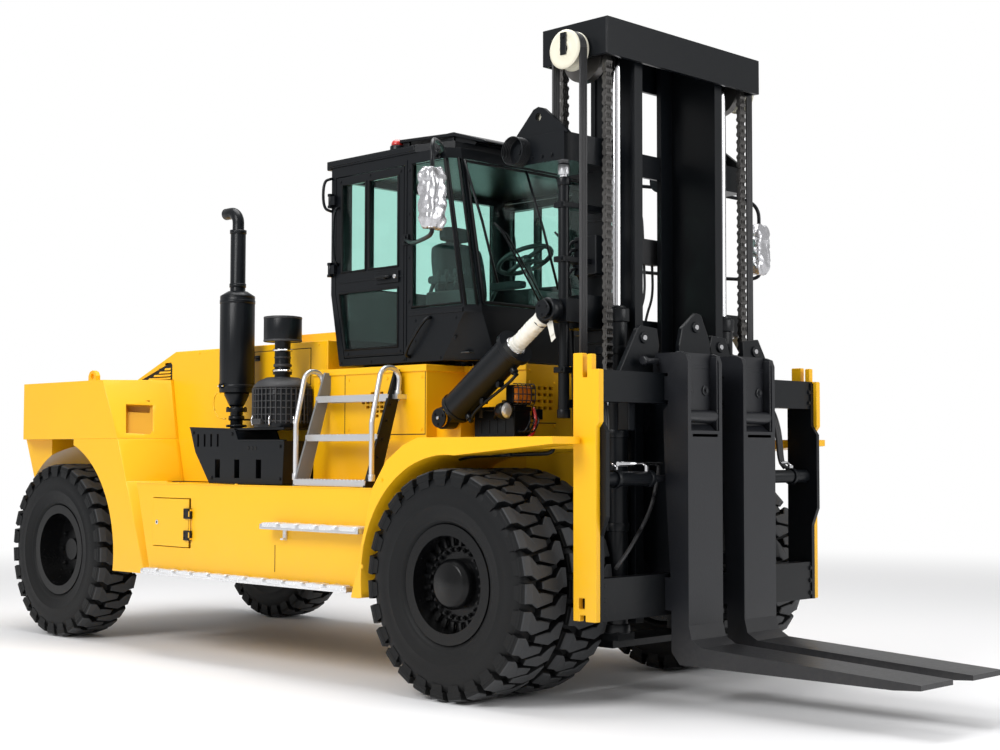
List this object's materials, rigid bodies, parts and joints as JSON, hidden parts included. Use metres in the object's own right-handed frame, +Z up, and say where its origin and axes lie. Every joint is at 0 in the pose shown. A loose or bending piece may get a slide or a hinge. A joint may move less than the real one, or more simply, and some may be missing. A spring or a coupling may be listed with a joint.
{
  "type": "heavy forklift",
  "caption": "Heavy counterbalance lift truck with twin drive tyres, two-stage mast, hook-on forks, side steps and an enclosed glazed cab.",
  "frame": {"origin": "on the floor, at the centre of the whole vehicle's bounding box, midway between the fork tips and the rear of the counterweight", "axes": "+X forward to the fork tips, +Y to the operator's left, +Z up"},
  "size_m": [8.02, 3.4, 4.0592],
  "materials": {
    "yellow_paint": "gloss",
    "black_paint": "satin",
    "tyre_rubber": "matte",
    "tinted_glass": "gloss",
    "chromed_steel": "polished",
    "wrapped_steel": "wrapped in clear film",
    "bare_aluminium": "satin",
    "chain_steel": "oiled",
    "black_plastic": "matte",
    "foil_wrap": "crumpled film"
  },
  "bodies": {
    "chassis": {"chassis_frame": "black_paint", "counterweight": "yellow_paint", "rear_fenders": "yellow_paint", "engine_hood": "yellow_paint", "engine_block": "black_paint", "fuel_tank_right": "yellow_paint", "hydraulic_tank_left": "yellow_paint", "deck_body": "yellow_paint", "front_fenders": "yellow_paint", "side_steps": "bare_aluminium", "access_ladders": "bare_aluminium", "exhaust_stack": "black_paint", "air_cleaner": "black_paint", "exhaust_tray": "black_paint", "cab_shell": "black_paint", "cab_roof": "black_paint", "cab_glass": "tinted_glass", "operator_seat": "black_plastic", "dash_console": "black_plastic", "wing_mirrors": "foil_wrap", "headlamps": "black_paint", "drive_axle": "black_paint", "steer_axle": "black_paint"},
    "knuckle_left_body": {"knuckle_left": "black_paint"},
    "knuckle_right_body": {"knuckle_right": "black_paint"},
    "wheel_rear_left": {"tyre_rear_left": "tyre_rubber", "rim_rear_left": "black_paint"},
    "wheel_rear_right": {"tyre_rear_right": "tyre_rubber", "rim_rear_right": "black_paint"},
    "wheels_front_left": {"tyres_front_left": "tyre_rubber", "rims_front_left": "black_paint"},
    "wheels_front_right": {"tyres_front_right": "tyre_rubber", "rims_front_right": "black_paint"},
    "door_left": {"cab_door_left": "black_paint", "door_glass_left": "tinted_glass"},
    "door_right": {"cab_door_right": "black_paint", "door_glass_right": "tinted_glass"},
    "tank_door_body": {"tank_door": "yellow_paint"},
    "mast_outer": {"outer_mast": "black_paint", "lift_barrels": "black_paint", "mast_side_tubes": "black_paint", "rear_falls": "chain_steel"},
    "mast_inner": {"inner_mast": "black_paint", "mast_top_beam": "black_paint", "lift_rods": "chromed_steel", "mast_sheaves": "chain_steel", "front_falls": "chain_steel"},
    "carriage_body": {"carriage": "black_paint", "carriage_end_plates": "yellow_paint"},
    "fork_left_body": {"fork_left": "black_paint"},
    "fork_right_body": {"fork_right": "black_paint"},
    "tilt_barrel_left_body": {"tilt_barrel_left": "black_paint"},
    "tilt_barrel_right_body": {"tilt_barrel_right": "black_paint"},
    "tilt_rod_left_body": {"tilt_rod_left": "wrapped_steel"},
    "tilt_rod_right_body": {"tilt_rod_right": "wrapped_steel"}
  },
  "joints": [
    {"name": "front_wheels_left_roll", "type": "hinge", "parent": "chassis", "child": "wheels_front_left", "pos_m": [1.39, 1.005, 0.69], "axis": [0, 1, 0], "continuous": true},
    {"name": "steer_left", "type": "hinge", "parent": "chassis", "child": "knuckle_left_body", "pos_m": [-3.28, 0.72, 0.69], "axis": [0, 0, 1], "range_deg": [-50, 50]},
    {"name": "rear_wheel_left_roll", "type": "hinge", "parent": "knuckle_left_body", "child": "wheel_rear_left", "pos_m": [-3.28, 1.06, 0.69], "axis": [0, 1, 0], "continuous": true},
    {"name": "cab_door_left_swing", "type": "hinge", "parent": "chassis", "child": "door_left", "pos_m": [-0.29, 0.872, 3], "axis": [0, 0, 1], "range_deg": [0, 90]},
    {"name": "front_wheels_right_roll", "type": "hinge", "parent": "chassis", "child": "wheels_front_right", "pos_m": [1.39, -1.005, 0.69], "axis": [0, 1, 0], "continuous": true},
    {"name": "steer_right", "type": "hinge", "parent": "chassis", "child": "knuckle_right_body", "pos_m": [-3.28, -0.72, 0.69], "axis": [0, 0, 1], "range_deg": [-50, 50]},
    {"name": "rear_wheel_right_roll", "type": "hinge", "parent": "knuckle_right_body", "child": "wheel_rear_right", "pos_m": [-3.28, -1.06, 0.69], "axis": [0, 1, 0], "continuous": true},
    {"name": "cab_door_right_swing", "type": "hinge", "parent": "chassis", "child": "door_right", "pos_m": [-0.29, -0.872, 3], "axis": [0, 0, -1], "range_deg": [0, 90]},
    {"name": "tank_door_swing", "type": "hinge", "parent": "chassis", "child": "tank_door_body", "pos_m": [-1.327, -1.293, 0.9625], "axis": [0, 0, 1], "range_deg": [0, 110]},
    {"name": "mast_tilt", "type": "hinge", "parent": "chassis", "child": "mast_outer", "pos_m": [1.75, 0, 0.42], "axis": [0, 1, 0], "range_deg": [-10, 6]},
    {"name": "mast_lift", "type": "slide", "parent": "mast_outer", "child": "mast_inner", "axis": [0, 0, 1], "range_m": [-0.11, 1.55], "deforming": ["rear_falls"]},
    {"name": "carriage_lift", "type": "slide", "parent": "mast_inner", "child": "carriage_body", "axis": [0, 0, 1], "range_m": [-0.11, 1.55], "deforming": ["front_falls"]},
    {"name": "fork_left_shift", "type": "slide", "parent": "carriage_body", "child": "fork_left_body", "axis": [0, 1, 0], "range_m": [-0.035, 0.435]},
    {"name": "fork_right_shift", "type": "slide", "parent": "carriage_body", "child": "fork_right_body", "axis": [0, -1, 0], "range_m": [-0.13, 0.34]},
    {"name": "tilt_barrel_left_swing", "type": "hinge", "parent": "chassis", "child": "tilt_barrel_left_body", "pos_m": [0.94, 0.92, 1.687], "axis": [0, 1, 0], "range_deg": [-12, 8]},
    {"name": "tilt_rod_left_slide", "type": "slide", "parent": "tilt_barrel_left_body", "child": "tilt_rod_left_body", "axis": [0.8149, 0, 0.5796], "range_m": [-0.265, 0.165]},
    {"name": "tilt_barrel_right_swing", "type": "hinge", "parent": "chassis", "child": "tilt_barrel_right_body", "pos_m": [0.94, -0.92, 1.687], "axis": [0, 1, 0], "range_deg": [-12, 8]},
    {"name": "tilt_rod_right_slide", "type": "slide", "parent": "tilt_barrel_right_body", "child": "tilt_rod_right_body", "axis": [0.8149, 0, 0.5796], "range_m": [-0.265, 0.165]}
  ],
  "couplings": [
    {"joint": "steer_right", "follows": "steer_left", "ratio": 1},
    {"joint": "carriage_lift", "follows": "mast_lift", "ratio": 1},
    {"joint": "tilt_barrel_left_swing", "follows": "mast_tilt", "ratio": 1.12},
    {"joint": "tilt_rod_left_slide", "follows": "mast_tilt", "m_per_rad": 1.49},
    {"joint": "tilt_barrel_right_swing", "follows": "mast_tilt", "ratio": 1.12},
    {"joint": "tilt_rod_right_slide", "follows": "mast_tilt", "m_per_rad": 1.49}
  ]
}
